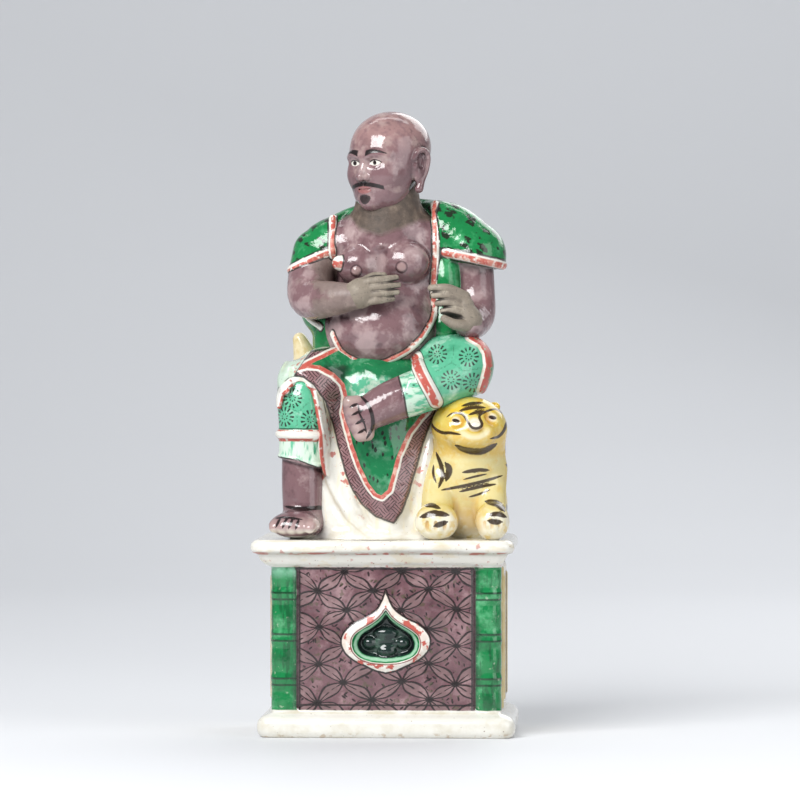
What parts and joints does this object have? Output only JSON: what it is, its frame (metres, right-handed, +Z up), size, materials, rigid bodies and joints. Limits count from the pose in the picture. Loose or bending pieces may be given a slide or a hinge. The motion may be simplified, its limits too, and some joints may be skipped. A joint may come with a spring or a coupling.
{
  "type": "arhat statue",
  "caption": "Seated, cross-legged arhat statue with a tiger at its side, on a rectangular pedestal with an ogee cartouche, hollow and open underneath.",
  "frame": {"origin": "middle of the foot rim, on the surface that the statue stands on", "axes": "+Z up; the statue faces -Y; +X is the arhat's left hand side, where the tiger sits"},
  "size_m": [0.0924, 0.0688, 0.2201],
  "materials": {
    "enamelled_porcelain": "enamelled on the biscuit: green, aubergine, yellow and clear glaze over white porcelain, head glossy, neck and hands unglazed"
  },
  "bodies": {
    "root": {"arhat_statue": "enamelled_porcelain"}
  },
  "joints": []
}
